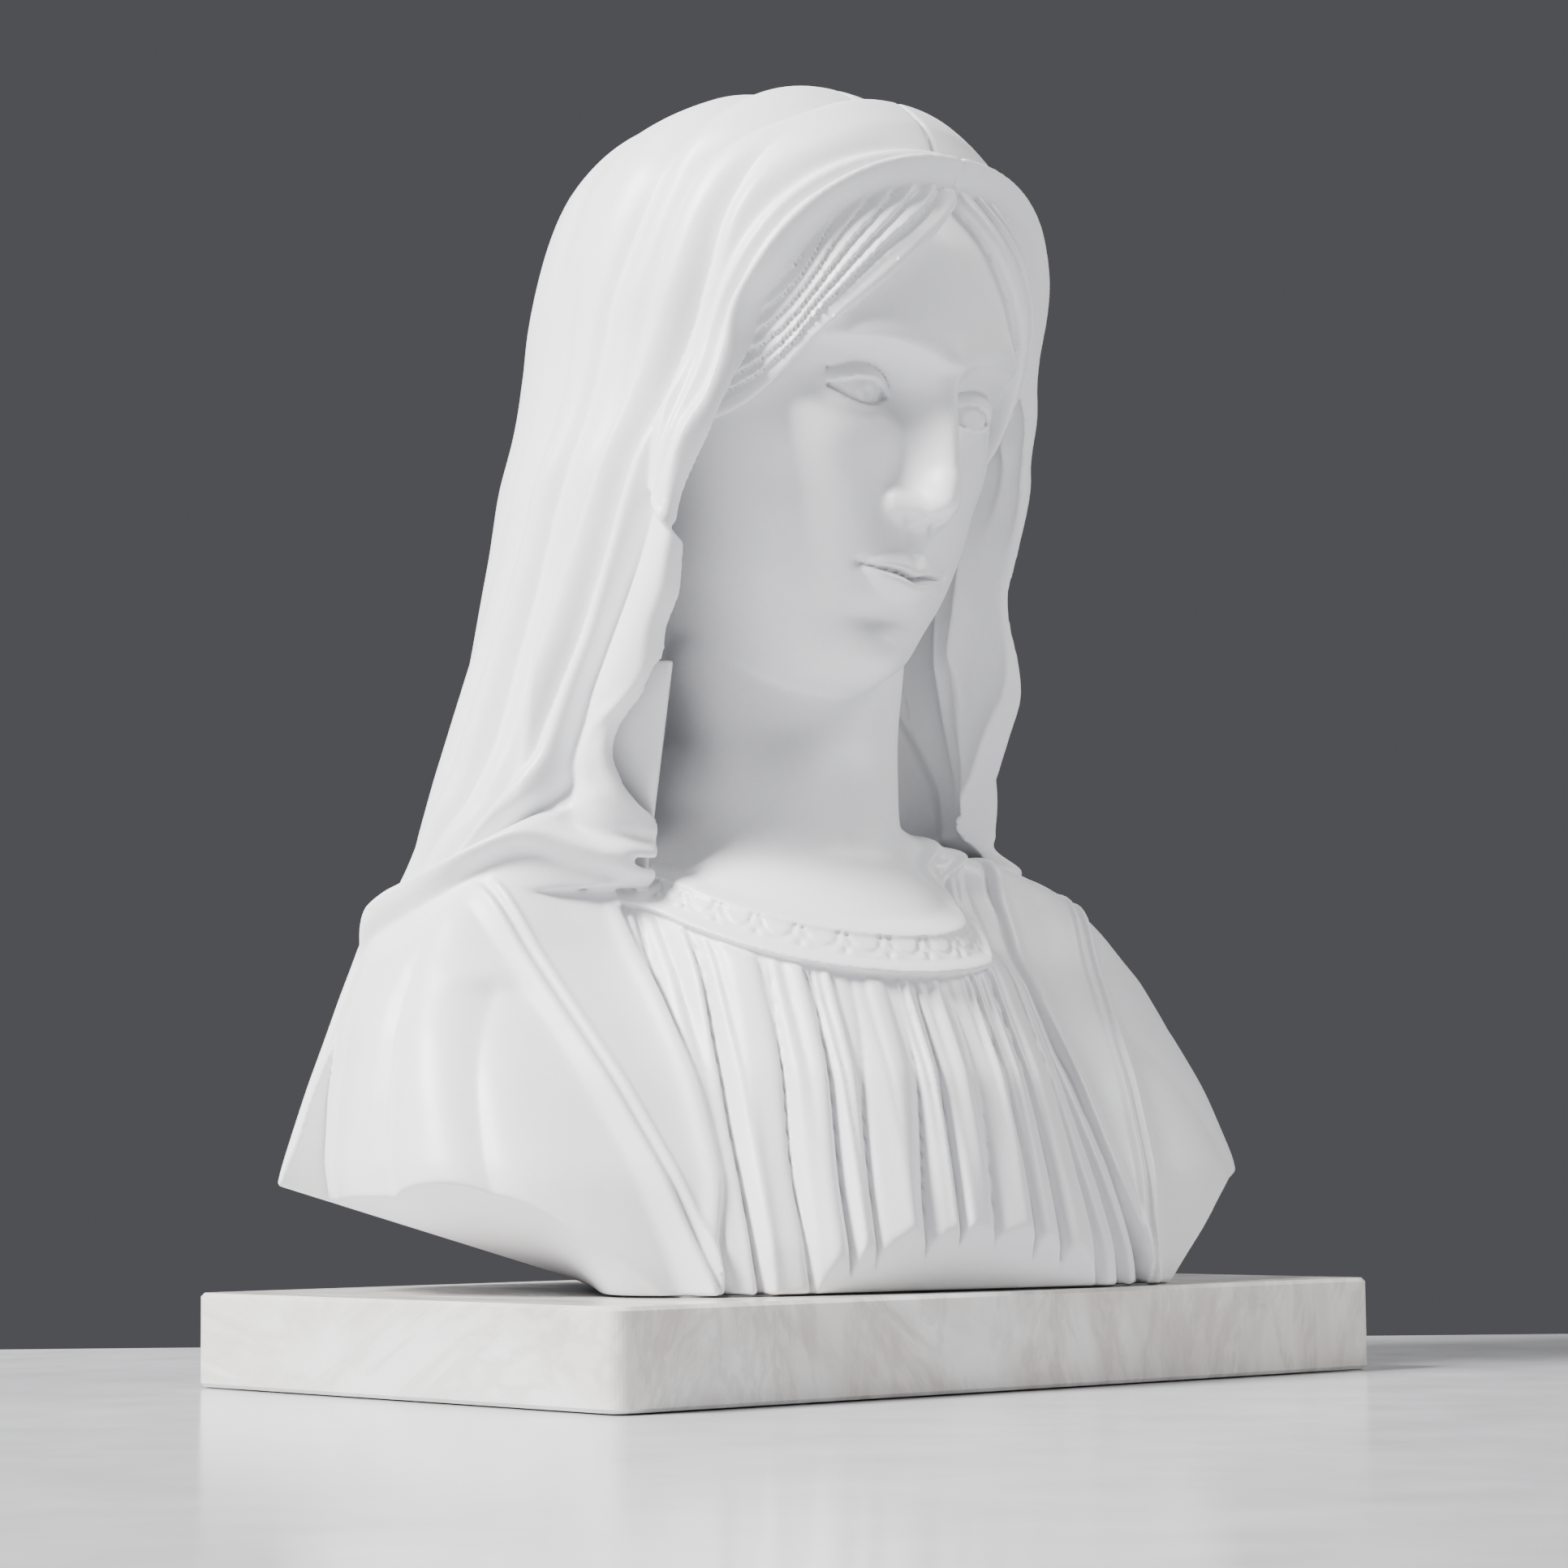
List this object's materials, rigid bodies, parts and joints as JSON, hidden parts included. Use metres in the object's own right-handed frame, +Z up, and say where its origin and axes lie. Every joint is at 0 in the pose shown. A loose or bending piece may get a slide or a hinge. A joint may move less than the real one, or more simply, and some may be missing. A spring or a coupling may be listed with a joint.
{
  "type": "veiled portrait bust",
  "caption": "White marble bust of a woman in a draped veil and gathered tunic, standing on a rectangular veined slab and fixed from below by a stud, nut and locating pins.",
  "frame": {"origin": "centre of the slab's resting plane, at the undersides of the felt pads", "axes": "+Z up, -Y towards the front of the slab, +X along the slab's long side towards the figure's left"},
  "size_m": [0.32, 0.222, 0.4282],
  "materials": {
    "bust_marble": "satin",
    "slab_marble": "polished",
    "plug_marble": "matte",
    "mastic": "matte",
    "brass": "satin",
    "steel": "satin",
    "dark_steel": "satin",
    "felt": "matte"
  },
  "bodies": {
    "root": {"base_slab": "slab_marble", "bust_casting": "bust_marble", "foot_plug": "plug_marble", "brass_anchor": "brass", "threaded_stud": "steel", "locating_pin_left": "steel", "locating_pin_right": "steel", "setting_bed": "mastic", "bearing_washer": "steel", "spring_washer": "dark_steel", "hex_nut": "steel", "felt_pad_front_left": "felt", "felt_pad_front_right": "felt", "felt_pad_back_left": "felt", "felt_pad_back_right": "felt"}
  },
  "joints": []
}
